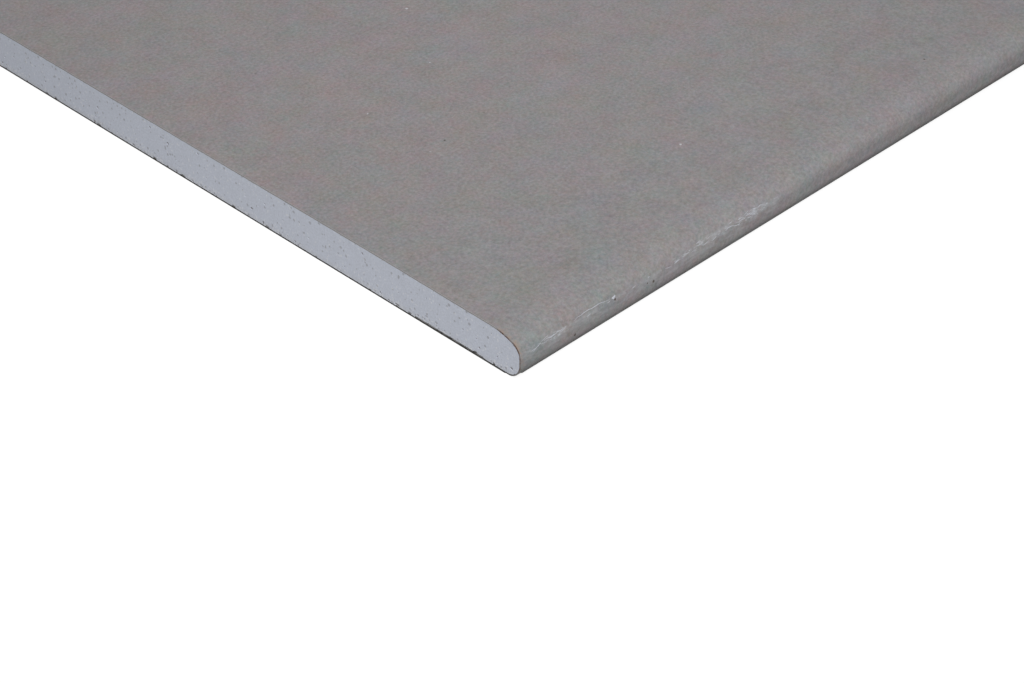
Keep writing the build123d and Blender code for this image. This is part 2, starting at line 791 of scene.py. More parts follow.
@dataclass(frozen=True)
class PaperFinish:
    """Grey paper of matted, recycled fibres, with what sawing and handling left on it, and painted shade low
    on the long edges and at the foot of the sawn edges.

    A band holds where a blend begins and where it is complete.
    """

    name: str
    paper: Colour
    sawn_edge: Colour
    sawn_nose: Colour
    # Painted shade: near-black colour at the foot of the sawn edges, far darker than the paper.
    sawn_foot_shade: Colour = (0.045, 0.043, 0.04)
    stain: Colour = (0.33, 0.215, 0.15)
    warmth: Colour = (0.09, -0.045, -0.022)
    blueness: Colour = (0.0, 0.0, 0.08)
    edge_shift: Colour = (-0.009, 0.0, 0.0)
    edge_band: Band = (90 * MM, 5 * MM)
    dust: Colour = (0.50, 0.51, 0.54)
    scuff: Colour = (0.52, 0.54, 0.58)
    # Colour of the dark flecks and marks, and also of the painted shade low on the long edges.
    dark_fleck_and_shade: Colour = (0.10, 0.085, 0.075)
    dark_flecks: Speckle = Speckle(5 * MM, 0.7 * MM, 0.35, 0.45)
    pale_flecks: Speckle = Speckle(9 * MM, 0.8 * MM, 0.3, 0.4, shift=(0.31, 0.17, 0.05))
    grain: Grain = Grain(0.9 * MM, 0.82, 12 * MM, 0.34)
    roughness: float = 0.92
    relief: float = 0.03 * MM
    # Painted shade: share of dark colour at the very bottom of the long edges, fading out higher up.
    low_edge_shade: float = 0.0
    low_edge_shade_band: Band = (0.2 * MM, 4.5 * MM)
    nose_band: Band = (9 * MM, 6 * MM)
    patch_size: float = 1.8 * MM
    stain_patches: Band = (0.42, 0.6)
    stain_reach: float = 1.5 * MM
    stain_break_up: float = 1.6
    stain_strength: float = 0.55
    cut_reach: float = 0.16 * MM
    cut_band: Band = (0.05, 0.3)
    foot_shade_band: Band = (2.0 * MM, 4.5 * MM)
    foot_patches: Band = (0.38, 0.54)
    foot_dust: float = 0.7
    rubbed: tuple[RubbedStretch, ...] = ()
    marks: tuple[Mark, ...] = ()

    def material(self, effects: Effects, section: EdgeSection) -> bpy.types.Material:
        """Build the material.

        Args:
            effects: The shared shader effects.
            section: The long edge's section.

        Returns:
            The finished material.
        """
        made = MatteMaterial(self.name, self.roughness)
        grain = self.grain.place(made, effects)
        colour = made.tinted(self.paper, grain["Tone"])
        colour = made.shifted(colour, self.warmth, grain["Warmth"])
        colour = made.shifted(colour, self.blueness, grain["Blueness"])
        colour = made.shifted(colour, self.edge_shift, self.near_edge(made, section.size, self.edge_band))
        colour = self.dark_flecks.strew(made, effects, colour, self.dark_fleck_and_shade)
        colour = self.pale_flecks.strew(made, effects, colour, self.dust)
        colour = self.worn(made, effects, section, colour)
        colour = self.cut(made, effects, section.size, colour)
        return made.finish(colour, grain["Height"], self.relief)

    def near_edge(self, made: MatteMaterial, size: SheetSize, band: Band) -> bpy.types.NodeSocket:
        """Give 1 beside the long edges and 0 well in from them.

        Args:
            made: The material.
            size: The sheet's sizes.
            band: Distances in from the edge at which the blend begins and is complete.

        Returns:
            The result's socket.
        """
        out = made.math("ABSOLUTE", made.split(made.position)[1])
        return made.ramp(out, size.half_width - band[0], size.half_width - band[1])

    def worn(
        self, made: MatteMaterial, effects: Effects, section: EdgeSection, colour: Any
    ) -> bpy.types.NodeSocket:
        """Add painted shade low on the long edges, the rubbed stretches and the single marks.

        Args:
            made: The material.
            effects: The shared shader effects.
            section: The long edge's section.
            colour: Socket of the colour so far.

        Returns:
            The new colour's socket.
        """
        total: Any = 0.0
        for stretch in self.rubbed:
            start, end = stretch.along(section.size)
            placed = effects.rub.place(
                made,
                Position=made.position,
                Start=start,
                End=end,
                Low=section.on_nose(stretch.low)[1],
                High=section.on_nose(stretch.high)[1],
                Streaks=stretch.streaks,
                Haze=stretch.haze,
            )
            total = made.math("MAXIMUM", placed.outputs["Mask"], total)
        up = made.split(made.position)[2]
        # Painted shade: the paper darkens towards the bottom of the long edges, below 4.5 mm.
        colour = made.blend(made.ramp(up, *self.low_edge_shade_band, self.low_edge_shade, 0.0), colour, self.dark_fleck_and_shade)
        colour = made.blend(total, colour, self.scuff)
        for mark in self.marks:
            centre = mark.centre(section)
            placed = effects.spot.place(made, Position=made.position, Centre=centre, Radius=mark.radius)
            colour = made.blend(placed.outputs["Mask"], colour, self.dust if mark.pale else self.dark_fleck_and_shade)
        return colour

    def cut(
        self, made: MatteMaterial, effects: Effects, size: SheetSize, colour: Any
    ) -> bpy.types.NodeSocket:
        """Colour the paper's sawn edges, with painted shade near their foot, and what is beside them.

        Args:
            made: The material.
            effects: The shared shader effects.
            size: The sheet's sizes.
            colour: Socket of the colour so far.

        Returns:
            The new colour's socket.
        """
        up = made.split(made.position)[2]
        round_nose = self.near_edge(made, size, self.nose_band)
        patchy = made.ramp(made.noise(made.position, self.patch_size).outputs[0], *self.stain_patches)
        beside = self.from_cut(made, effects, size, self.stain_reach, self.stain_break_up)
        stained = made.math("MULTIPLY", made.math("MULTIPLY", beside, round_nose), patchy)
        colour = made.blend(made.math("MULTIPLY", stained, self.stain_strength), colour, self.stain)
        on_cut = made.ramp(self.from_cut(made, effects, size, self.cut_reach, 0.0), *self.cut_band)
        browned = made.math("MULTIPLY", round_nose, made.math("MULTIPLY_ADD", patchy, 0.5, 0.5))
        tint = made.blend(browned, self.sawn_edge, self.sawn_nose)
        lumps = made.noise(made.position, self.patch_size, 3.0, 0.7).outputs[0]
        dusted = made.ramp(lumps, *self.foot_patches)
        dusted = made.math("MULTIPLY", dusted, made.ramp(up, size.paper, 1.1 * size.paper))
        # Painted shade: the sawn edge turns near black below 2 mm, fading out by 4.5 mm, with patches of its
        # own grey.
        foot = made.blend(made.math("MULTIPLY", dusted, self.foot_dust), self.sawn_foot_shade, self.sawn_edge)
        tint = made.blend(made.ramp(up, *self.foot_shade_band, 1.0, 0.0), tint, foot)
        return made.blend(on_cut, colour, tint)

    def from_cut(
        self, made: MatteMaterial, effects: Effects, size: SheetSize, reach: float, break_up: float
    ) -> bpy.types.NodeSocket:
        """Say how near a point is to a sawn end.

        Args:
            made: The material.
            effects: The shared shader effects.
            size: The sheet's sizes.
            reach: Distance at which nearness is 0.
            break_up: How much its border is broken up.

        Returns:
            The nearness's socket.
        """
        placed = effects.sawn_edge.place(
            made, Position=made.position, Half_Length=size.half_length, Reach=reach, Break_Up=break_up
        )
        return placed.outputs["Mask"]


@dataclass(frozen=True)
class GypsumFinish:
    """Cast gypsum as a saw leaves it: pale, gritty, and dark down in its pores from brown dust and painted
    shade.

    A band holds where a blend begins and where it is complete.
    """

    name: str = "gypsum"
    gypsum: Colour = (0.692, 0.727, 0.82)
    low_gypsum: Colour = (0.655, 0.67, 0.71)
    low_band: Band = (0.5 * MM, 2.2 * MM)
    low_strength: float = 0.5
    crumb: Colour = (0.90, 0.91, 0.95)
    pore_dust_and_shade: Colour = (0.17, 0.15, 0.14)
    # Painted shade in the pores and bites: depths behind the sawn end over which the darkening grows, and its
    # strength.
    pore_shade_band: Band = (0.02 * MM, 0.25 * MM)
    pore_shade_strength: float = 0.75
    grain: Grain = Grain(0.55 * MM, 0.38, 5 * MM, 0.14)
    holes: Speckle = Speckle(0.9 * MM, 1.1 * MM, 0.12, 0.38, crowded=0.55)
    crumbs: Speckle = Speckle(0.55 * MM, 0.95 * MM, 0.08, 0.55, crowded=0.85, shift=(0.13, 0.29, 0.07))
    patch_size: float = 7 * MM
    patches: Band = (0.42, 0.58)
    crumbled_band: Band = (1.2 * MM, 3.4 * MM)
    roughness: float = 0.95
    relief: float = 0.07 * MM

    def material(self, effects: Effects, size: SheetSize, recess: float) -> bpy.types.Material:
        """Build the material.

        Args:
            effects: The shared shader effects.
            size: The sheet's sizes.
            recess: How far the core's ends lie in from the paper's.

        Returns:
            The finished material.
        """
        made = MatteMaterial(self.name, self.roughness)
        grain = self.grain.place(made, effects)
        along, _, up = made.split(made.position)
        low = made.ramp(up, *self.low_band, 1.0, 0.0)
        colour = made.tinted(self.gypsum, grain["Tone"])
        colour = made.blend(made.math("MULTIPLY", low, self.low_strength), colour, self.low_gypsum)
        patches = made.ramp(made.noise(made.position, self.patch_size).outputs[0], *self.patches)
        crumbled = made.math("MULTIPLY", made.ramp(up, *self.crumbled_band, 1.0, 0.0), patches)
        # Dark specks of the pore colour stand for pores too small to cut: partly brown dust, partly painted
        # shade.
        colour = self.holes.strew(made, effects, colour, self.pore_dust_and_shade, crumbled)
        colour = self.crumbs.strew(made, effects, colour, self.crumb, crumbled)
        # Painted shade with brown dust: what lies deeper than 0.02 mm behind the sawn end darkens towards the
        # pore colour.
        depth = made.math("SUBTRACT", size.half_length - recess, made.math("ABSOLUTE", along))
        deep = made.math("MULTIPLY", made.ramp(depth, *self.pore_shade_band), self.pore_shade_strength)
        return made.finish(made.blend(deep, colour, self.pore_dust_and_shade), grain["Height"], self.relief)


@dataclass(frozen=True)
class PlainGrainFinish:
    """Loose stuff of one colour with some grain, such as dust, flakes or fibres."""

    name: str
    colour: Colour
    grain: Grain = Grain(0.25 * MM, 0.3, 2 * MM, 0.25)
    roughness: float = 0.95
    relief: float = 0.01 * MM

    def material(self, effects: Effects) -> bpy.types.Material:
        """Build the material.

        Args:
            effects: The shared shader effects.

        Returns:
            The finished material.
        """
        made = MatteMaterial(self.name, self.roughness)
        grain = self.grain.place(made, effects)
        return made.finish(made.tinted(self.colour, grain["Tone"]), grain["Height"], self.relief)


class GrowthTree(Tree):
    """A Geometry Nodes tree that is run once on a mesh and leaves a plain mesh."""

    def __init__(self, name: str, inputs: dict[str, Socket]) -> None:
        """Make the tree with its named inputs.

        Args:
            name: Name of the tree.
            inputs: Kinds of the inputs beside the geometry and the material, by name.
        """
        super().__init__(bpy.data.node_groups.new(name, "GeometryNodeTree"))
        self.declare({"Geometry": Socket.GEOMETRY, **inputs, "Material": Socket.MATERIAL}, "INPUT")
        self.declare({"Geometry": Socket.GEOMETRY}, "OUTPUT")
        self.given = self.node("NodeGroupInput").outputs

    def random(self, low: Any, high: Any, salt: int) -> bpy.types.NodeSocket:
        """Draw a number for each element.

        Args:
            low: Least value.
            high: Greatest value.
            salt: Added to the tree's seed, so that draws differ.

        Returns:
            The drawn number's socket.
        """
        made = self.node("FunctionNodeRandomValue", data_type="FLOAT")
        floats = [s for s in made.inputs if s.type == "VALUE"]
        self.feed(floats[0], low)
        self.feed(floats[1], high)
        self.feed(made.inputs["Seed"], self.math("ADD", self.given["Seed"], float(salt)))
        return [s for s in made.outputs if s.type == "VALUE"][0]

    def combine(self, x: Any, y: Any, z: Any) -> bpy.types.NodeSocket:
        """Join three numbers into a vector."""
        return self.node("ShaderNodeCombineXYZ", {0: x, 1: y, 2: z}).outputs[0]

    def keep(self, points: Any, wanted: Any) -> bpy.types.NodeSocket:
        """Keep only some points.

        Args:
            points: The points.
            wanted: Whether a point stays.

        Returns:
            Socket of the points that stay.
        """
        made = self.node("GeometryNodeSeparateGeometry", {"Geometry": points, "Selection": wanted})
        return made.outputs["Selection"]

    def close(self, geometry: Any) -> None:
        """Realize the instances, set the material and end the tree.

        Args:
            geometry: Socket of what the tree has made.
        """
        real = self.node("GeometryNodeRealizeInstances", {"Geometry": geometry}).outputs[0]
        inputs = {"Geometry": real, "Material": self.given["Material"]}
        dressed = self.node("GeometryNodeSetMaterial", inputs).outputs[0]
        self.node("NodeGroupOutput", {0: dressed})

    def run(self, source: bpy.types.Object, name: str, values: dict[str, Any]) -> bpy.types.Object:
        """Run the tree on an object, which is used up.

        Args:
            source: Object that holds the starting mesh.
            name: Name of the resulting piece.
            values: Values of the named inputs.

        Returns:
            A new object with the result as its plain mesh.
        """
        modifier = source.modifiers.new(self.tree.name, "NODES")
        modifier.node_group = self.tree
        for item in self.tree.interface.items_tree:
            if item.in_out == "INPUT" and item.name in values:
                modifier[item.identifier] = values[item.name]
        evaluated = source.evaluated_get(bpy.context.evaluated_depsgraph_get())
        mesh = bpy.data.meshes.new_from_object(evaluated)
        source.modifiers.remove(modifier)
        bpy.data.objects.remove(source)
        return linked(name, mesh)


class PoreTree(GrowthTree):
    """Sinks pores and broken-out bites into the two sawn ends of the core.

    Ranges are the least and the greatest factor that is drawn for one lump.
    """

    PORE_WIDTHS = (1.0, 1.4)
    PORE_DEPTHS = (0.5, 1.2)
    BITE_LENGTHS = (0.25, 1.0)
    BITE_HEIGHTS = (0.5, 1.1)
    BITE_DEPTH = 0.55
    BITE_SPACING = 2.2
    BITE_CHANCE = 0.35
    WORN_CHANCE = 0.6
    ROUGH_SIZE = 0.3 * MM
    ROUGH_PUSH = 0.25 * MM
    FINENESS = 2

    def __init__(self) -> None:
        """Build the tree."""
        names = ("Crowd Low", "Crowd High", "Spacing", "Smallest", "Largest", "Bottom", "Top")
        names += ("Bite Crowd", "Bite Length", "Bite Height", "Worn Start", "Worn End")
        super().__init__("sunk_pores", {**numbers(*names), "Seed": Socket.WHOLE})
        pitted = self.cut(self.given["Geometry"], self.pores())
        self.close(self.cut(pitted, self.bites()))

    def ends(self, crowd: Any, spacing: Any, salt: int) -> bpy.types.NodeSocket:
        """Strew points over both sawn ends, no closer than a spacing.

        Args:
            crowd: Number of points per square metre.
            spacing: Least distance between two points.
            salt: Added to the tree's seed.

        Returns:
            Socket of the points.
        """
        normal = self.split(self.node("GeometryNodeInputNormal").outputs[0])[0]
        inputs = {
            "Mesh": self.given["Geometry"],
            "Selection": self.math("GREATER_THAN", self.math("ABSOLUTE", normal), 0.9),
            "Density": crowd,
            "Seed": self.math("ADD", self.given["Seed"], float(salt)),
        }
        points = self.node("GeometryNodeDistributePointsOnFaces", inputs).outputs["Points"]
        return self.thinned(points, spacing)

    def thinned(self, points: Any, spacing: Any) -> bpy.types.NodeSocket:
        """Merge points that lie closer than a spacing."""
        inputs = {"Geometry": points, "Distance": spacing}
        return self.node("GeometryNodeMergeByDistance", inputs).outputs[0]

    def pores(self) -> bpy.types.NodeSocket:
        """Make the pores' own shapes, more of them low down.

        Returns:
            Socket of the shapes.
        """
        given = self.given
        height = self.split(self.node("GeometryNodeInputPosition").outputs[0])[2]
        share = self.ramp(height, given["Bottom"], given["Top"], 1.0, 0.0)
        rare = self.math("DIVIDE", given["Crowd High"], given["Crowd Low"])
        common = self.math("SUBTRACT", 1.0, rare)
        share = self.math("MULTIPLY_ADD", self.math("POWER", share, 2.0), common, rare)
        wanted = self.math("LESS_THAN", self.random(0.0, 1.0, 1), share)
        points = self.keep(self.ends(given["Crowd Low"], given["Spacing"], 0), wanted)
        spread = self.math("SUBTRACT", given["Largest"], given["Smallest"])
        chance = self.math("POWER", self.random(0.0, 1.0, 2), 2.0)
        radius = self.math("MULTIPLY_ADD", chance, spread, given["Smallest"])
        wide = self.math("MULTIPLY", radius, self.random(*self.PORE_WIDTHS, 3))
        deep = self.math("MULTIPLY", radius, self.random(*self.PORE_DEPTHS, 9))
        return self.lumps(points, self.combine(deep, wide, radius), self.random(0.0, 2 * pi, 4))

    def bites(self) -> bpy.types.NodeSocket:
        """Make the shapes that are broken out along the lower arris.

        Returns:
            Socket of the shapes.
        """
        given = self.given
        _, across, height = self.split(self.node("GeometryNodeInputPosition").outputs[0])
        low = self.math("LESS_THAN", height, self.math("ADD", given["Bottom"], given["Bite Height"]))
        after = self.math("GREATER_THAN", across, given["Worn Start"])
        before = self.math("LESS_THAN", across, given["Worn End"])
        worn = self.math("MULTIPLY", after, before)
        share = self.math("MULTIPLY_ADD", worn, self.WORN_CHANCE, self.BITE_CHANCE)
        chosen = self.math("LESS_THAN", self.random(0.0, 1.0, 6), share)
        points = self.ends(given["Bite Crowd"], 0.0, 5)
        points = self.keep(points, self.math("MULTIPLY", low, chosen))
        points = self.thinned(points, self.math("MULTIPLY", given["Bite Length"], self.BITE_SPACING))
        length = self.math("MULTIPLY", given["Bite Length"], self.random(*self.BITE_LENGTHS, 7))
        tall = self.math("MULTIPLY", given["Bite Height"], self.random(*self.BITE_HEIGHTS, 8))
        deep = self.math("MULTIPLY", tall, self.BITE_DEPTH)
        return self.lumps(points, self.combine(deep, length, tall), 0.0)

    def lumps(self, points: Any, scale: Any, turn: Any) -> bpy.types.NodeSocket:
        """Put a round lump on every point and roughen it.

        Args:
            points: Where the lumps go.
            scale: Their radii along X, Y and Z.
            turn: Their turn about X.

        Returns:
            Socket of the lumps.
        """
        sizes = {"Radius": 1.0, "Subdivisions": self.FINENESS}
        ball = self.node("GeometryNodeMeshIcoSphere", sizes).outputs[0]
        inputs = {
            "Points": points,
            "Instance": ball,
            "Rotation": self.combine(turn, 0.0, 0.0),
            "Scale": scale,
        }
        placed = self.node("GeometryNodeInstanceOnPoints", inputs).outputs[0]
        real = self.node("GeometryNodeRealizeInstances", {"Geometry": placed}).outputs[0]
        here = self.node("GeometryNodeInputPosition").outputs[0]
        rough = self.noise(here, self.ROUGH_SIZE, 1.0).outputs["Color"]
        push = self.vector("SUBTRACT", rough, (0.5, 0.5, 0.5))
        push = self.vector("MULTIPLY", push, (self.ROUGH_PUSH,) * 3)
        return self.node("GeometryNodeSetPosition", {"Geometry": real, "Offset": push}).outputs[0]

    def cut(self, solid: Any, lumps: Any) -> bpy.types.NodeSocket:
        """Cut lumps out of a solid.

        Args:
            solid: Socket of the solid.
            lumps: Socket of the lumps.

        Returns:
            Socket of what is left.
        """
        options = {"operation": "DIFFERENCE", "solver": "MANIFOLD"}
        cutter = self.node("GeometryNodeMeshBoolean", {"Mesh 2": lumps}, **options)
        self.feed(cutter.inputs["Mesh 1"], solid)
        return cutter.outputs["Mesh"]


class SliverTree(GrowthTree):
    """Lays thin slivers of paper on a surface, thickest where it is most worn.

    Ranges are the least and the greatest factor that is drawn for one sliver.
    """

    CLUMP_SIZE = 2.5 * MM
    CLUMP_BAND: Band = (0.42, 0.62)
    LENGTHS = (0.3, 1.0)
    WIDTHS = (0.5, 1.3)
    TIP_TAPER = -3.4
    BOW = 2.0

    def __init__(self) -> None:
        """Build the tree."""
        sizes = numbers("Crowd", "Longest", "Width", "Thickness", "Slant")
        super().__init__("strewn_slivers", {**sizes, "Columns": Socket.WHOLE, "Seed": Socket.WHOLE})
        given = self.given
        inputs = {"Name": WEAR_ATTRIBUTE}
        worn = self.node("GeometryNodeInputNamedAttribute", inputs, data_type="FLOAT").outputs[0]
        here = self.node("GeometryNodeInputPosition").outputs[0]
        clumps = self.ramp(self.noise(here, self.CLUMP_SIZE).outputs[0], *self.CLUMP_BAND)
        inputs = {
            "Mesh": given["Geometry"],
            "Density": self.math("MULTIPLY", given["Crowd"], self.math("MULTIPLY", worn, clumps)),
            "Seed": given["Seed"],
        }
        spread = self.node("GeometryNodeDistributePointsOnFaces", inputs).outputs
        options = {"axis": "Z", "pivot_axis": "AUTO"}
        inputs = {"Vector": spread["Normal"]}
        level = self.node("FunctionNodeAlignRotationToVector", inputs, **options).outputs[0]
        slant = self.math("MULTIPLY", given["Slant"], self.random(-1.0, 1.0, 1))
        inputs = {"Rotation": level, "Rotate By": self.combine(0.0, 0.0, slant)}
        turned = self.node("FunctionNodeRotateRotation", inputs, rotation_space="LOCAL").outputs[0]
        drawn = self.math("POWER", self.random(*self.LENGTHS, 2), 2.0)
        length = self.math("MULTIPLY", given["Longest"], drawn)
        width = self.math("MULTIPLY", given["Width"], self.random(*self.WIDTHS, 3))
        inputs = {
            "Points": spread["Points"],
            "Instance": self.sliver(),
            "Rotation": turned,
            "Scale": self.combine(length, width, given["Thickness"]),
        }
        self.close(self.node("GeometryNodeInstanceOnPoints", inputs).outputs[0])

    def sliver(self) -> bpy.types.NodeSocket:
        """Make one sliver of unit size that thins out towards both tips.

        Returns:
            Socket of its mesh.
        """
        sides = {"Size": (1.0, 1.0, 1.0), "Vertices Y": 2, "Vertices Z": 2}
        sides["Vertices X"] = self.given["Columns"]
        block = self.node("GeometryNodeMeshCube", sides).outputs[0]
        along, across, up = self.split(self.node("GeometryNodeInputPosition").outputs[0])
        square = self.math("MULTIPLY", along, along)
        thinned = self.math("MULTIPLY", square, self.TIP_TAPER)
        bowed = self.math("MULTIPLY_ADD", square, self.BOW, self.math("MULTIPLY", across, thinned))
        push = self.combine(0.0, bowed, self.math("MULTIPLY", up, thinned))
        return self.node("GeometryNodeSetPosition", {"Geometry": block, "Offset": push}).outputs[0]


def linked(name: str, data: bpy.types.ID) -> bpy.types.Object:
    """Make an object for a mesh, a light or a camera and add it to the scene.

    Args:
        name: Name of the object.
        data: What it holds.

    Returns:
        The new object.
    """
    made = bpy.data.objects.new(name, data)
    bpy.context.scene.collection.objects.link(made)
    return made


def mesh_of(name: str, points: list[tuple[float, ...]], faces: list[list[int]]) -> bpy.types.Mesh:
    """Make a closed mesh with its faces turned outwards.

    Args:
        name: Name of the mesh.
        points: Its points.
        faces: Its faces, as the numbers of their points.

    Returns:
        The new mesh.
    """
    mesh = bpy.data.meshes.new(name)
    mesh.from_pydata(points, [], faces)
    work = bmesh.new()
    work.from_mesh(mesh)
    bmesh.ops.recalc_face_normals(work, faces=work.faces)
    work.to_mesh(mesh)
    work.free()
    return mesh


def settle(piece: bpy.types.Object, slot: Slot, *nodes: str) -> bpy.types.Object:
    """Fix a finished piece to the sheet's body and report it.

    Args:
        piece: The piece.
        slot: The record's slot for the piece; not used.
        nodes: The CAD nodes that it stands for.

    Returns:
        The piece.
    """
    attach(piece, BODY)
    if nodes:
        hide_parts(*nodes)
    triangles = sum(len(face.vertices) - 2 for face in piece.data.polygons)
    LOG.info("%s: %d triangles", piece.name, triangles)
    return piece


@dataclass
class SawnPaper:
    """A paper of even thickness that runs along the sheet between two sawn ends."""

    name: str
    slot: Slot
    size: SheetSize
    outer: list[Point]
    inner: list[Point]
    pitch: float = 0.6 * MM
    margin: float = 2.0 * MM
    fray: float = 0.09 * MM
    slow_wander: float = 4 * MM
    quick_wander: float = 0.9 * MM
    usual_fray: float = 0.45
    slow_share: float = 0.5
    quick_share: float = 0.4
    smooth_angle: float = radians(25)

    def build(self, material: bpy.types.Material) -> bpy.types.Object:
        """Build the paper and fix it to the sheet.

        Args:
            material: Its material.

        Returns:
            The finished piece.
        """
        self.points: list[tuple[float, ...]] = []
        self.faces: list[list[int]] = []
        rows = {end: self.sawn_end(end) for end in SawnEnd}
        for row_a, row_b in zip(rows[SawnEnd.A], rows[SawnEnd.B]):
            self.bridge(row_a, row_b)
        (outer_a, inner_a), (outer_b, inner_b) = rows[SawnEnd.A], rows[SawnEnd.B]
        for k in (0, -1):
            self.faces.append([outer_a[k], outer_b[k], inner_b[k], inner_a[k]])
        mesh = mesh_of(self.name, self.points, self.faces)
        mesh.materials.append(material)
        mesh.shade_smooth()
        mesh.set_sharp_from_angle(angle=self.smooth_angle)
        return settle(linked(self.name, mesh), self.slot, self.slot.value)

    def sawn_end(self, end: SawnEnd) -> tuple[list[int], list[int]]:
        """Add one sawn edge and the finely divided strip beside it.

        Args:
            end: Which end of the sheet.

        Returns:
            Numbers of the points across the strip's inner border, outside and inside.
        """
        counts = [max(1, round(self.gap(k) / self.pitch)) for k in range(len(self.outer) - 1)]
        edges, borders = [], []
        for side, line in enumerate((self.outer, self.inner)):
            edge, marks = self.edge_row(line, counts, end, side)
            border = self.row(line, end.value * (self.size.half_length - self.margin))
            for k in range(len(line) - 1):
                fine = edge[marks[k]:marks[k + 1] + 1]
                self.faces.append([border[k], border[k + 1], *reversed(fine)])
            edges.append(edge)
            borders.append(border)
        self.bridge(*edges)
        for k in (0, -1):
            self.faces.append([edges[0][k], edges[1][k], borders[1][k], borders[0][k]])
        return borders[0], borders[1]

    def gap(self, k: int) -> float:
        """Give the distance from one point of the outer line to the next."""
        (y0, z0), (y1, z1) = self.outer[k], self.outer[k + 1]
        return hypot(y1 - y0, z1 - z0)

    def edge_row(
        self, line: list[Point], counts: list[int], end: SawnEnd, side: int
    ) -> tuple[list[int], list[int]]:
        """Add the closely spaced points of one arris of a sawn edge.

        Args:
            line: The paper's line across the sheet.
            counts: Number of steps in each span of the line.
            end: Which end of the sheet.
            side: 0 for the outer arris, 1 for the inner one.

        Returns:
            Numbers of the points, and the places in that list of the line's own points.
        """
        row, marks = [], [0]
        for k, count in enumerate(counts):
            (y0, z0), (y1, z1) = line[k], line[k + 1]
            steps = count + (k == len(counts) - 1)
            for j in range(steps):
                t = j / count
                y, z = y0 + (y1 - y0) * t, z0 + (z1 - z0) * t
                x = end.value * (self.size.half_length - self.wander(y, z, end, side))
                row.append(len(self.points))
                self.points.append((x, y, z))
            marks.append(len(row) if k < len(counts) - 1 else len(row) - 1)
        return row, marks

    def wander(self, y: float, z: float, end: SawnEnd, side: int) -> float:
        """Say how far the saw's cut lies in from the sheet's end at a point.

        Args:
            y: The point's Y.
            z: The point's Z.
            end: Which end of the sheet.
            side: 0 for the outer arris, 1 for the inner one.

        Returns:
            The distance, from 0 to the fray.
        """
        salt = 10.0 * end.value + 3.0 * side
        slow = noise.noise(Vector((y / self.slow_wander, z / self.slow_wander, salt)))
        quick = noise.noise(Vector((y / self.quick_wander, z / self.quick_wander, salt + 1.5)))
        share = self.usual_fray + self.slow_share * slow + self.quick_share * quick
        return self.fray * min(1.0, max(0.0, share))

    def row(self, line: list[Point], x: float) -> list[int]:
        """Add a row of points across the sheet.

        Args:
            line: The points, as (Y, Z).
            x: Their X.

        Returns:
            Numbers of the points.
        """
        first = len(self.points)
        self.points.extend((x, y, z) for y, z in line)
        return list(range(first, len(self.points)))

    def bridge(self, first: list[int], second: list[int]) -> None:
        """Join two rows of points with a strip of faces.

        Args:
            first: Numbers of one row's points.
            second: Numbers of the other row's points.
        """
        for k in range(len(first) - 1):
            self.faces.append([first[k], first[k + 1], second[k + 1], second[k]])


@dataclass
class GypsumCore:
    """The cast core: a plain prism whose sawn ends are full of pores."""

    section: EdgeSection
    recess: float = 0.03 * MM
    cell: float = 4 * MM
    flatness: float = 0.001 * MM
    pore_crowd_low: float = 0.9e5
    pore_crowd_high: float = 2.1e4
    pore_spacing: float = 0.95 * MM
    smallest_pore: float = 0.14 * MM
    largest_pore: float = 0.44 * MM
    bite_crowd: float = 1.2e6
    bite_length: float = 1.1 * MM
    bite_height: float = 0.46 * MM
    worn: Band = (13 * MM, 38 * MM)
    seed: int = 7

    def build(self, material: bpy.types.Material) -> bpy.types.Object:
        """Build the core and fix it to the sheet.

        Args:
            material: Its material.

        Returns:
            The finished piece.
        """
        size = self.section.size
        values = {
            "Crowd Low": self.pore_crowd_low,
            "Crowd High": self.pore_crowd_high,
            "Spacing": self.pore_spacing,
            "Smallest": self.smallest_pore,
            "Largest": self.largest_pore,
            "Bottom": size.paper,
            "Top": size.thickness - size.paper,
            "Bite Crowd": self.bite_crowd,
            "Bite Length": self.bite_length,
            "Bite Height": self.bite_height,
            "Worn Start": self.worn[0] - size.half_width,
            "Worn End": self.worn[1] - size.half_width,
            "Seed": self.seed,
            "Material": material,
        }
        piece = PoreTree().run(linked("core_blank", self.prism()), "gypsum_core_sawn", values)
        return settle(piece, Slot.GYPSUM, "gypsum_core")

    def prism(self) -> bpy.types.Mesh:
        """Make the core without its pores.

        Its ends are divided into narrow cells, so that a pore cuts few faces.

        Returns:
            The mesh.
        """
        size = self.section.size
        line = replace(self.section, face_step=self.cell).across(size.paper)
        level = size.thickness - size.paper
        flat = [k for k, (_, z) in enumerate(line) if z > level - self.flatness]
        line += [(line[k][0], size.paper) for k in reversed(flat)]
        lap_end = self.section.lap_end
        line.insert(len(line) - len(flat), (lap_end, size.paper))
        line.append((-lap_end, size.paper))
        count = len(line)
        last = count - 2
        cap = [[k, k + 1, last - (k + 1 - flat[0]), last - (k - flat[0])] for k in flat[:-1]]
        cap.append(list(range(flat[-1], last - len(flat) + 2)))
        cap.append([*range(flat[0] + 1), last, count - 1])
        reach = size.half_length - self.recess
        points = [(end.value * reach, y, z) for end in SawnEnd for y, z in line]
        faces = cap + [[k + count for k in face] for face in cap]
        for k in range(count):
            after = (k + 1) % count
            faces.append([k, after, count + after, count + k])
        return mesh_of("core_blank", points, faces)


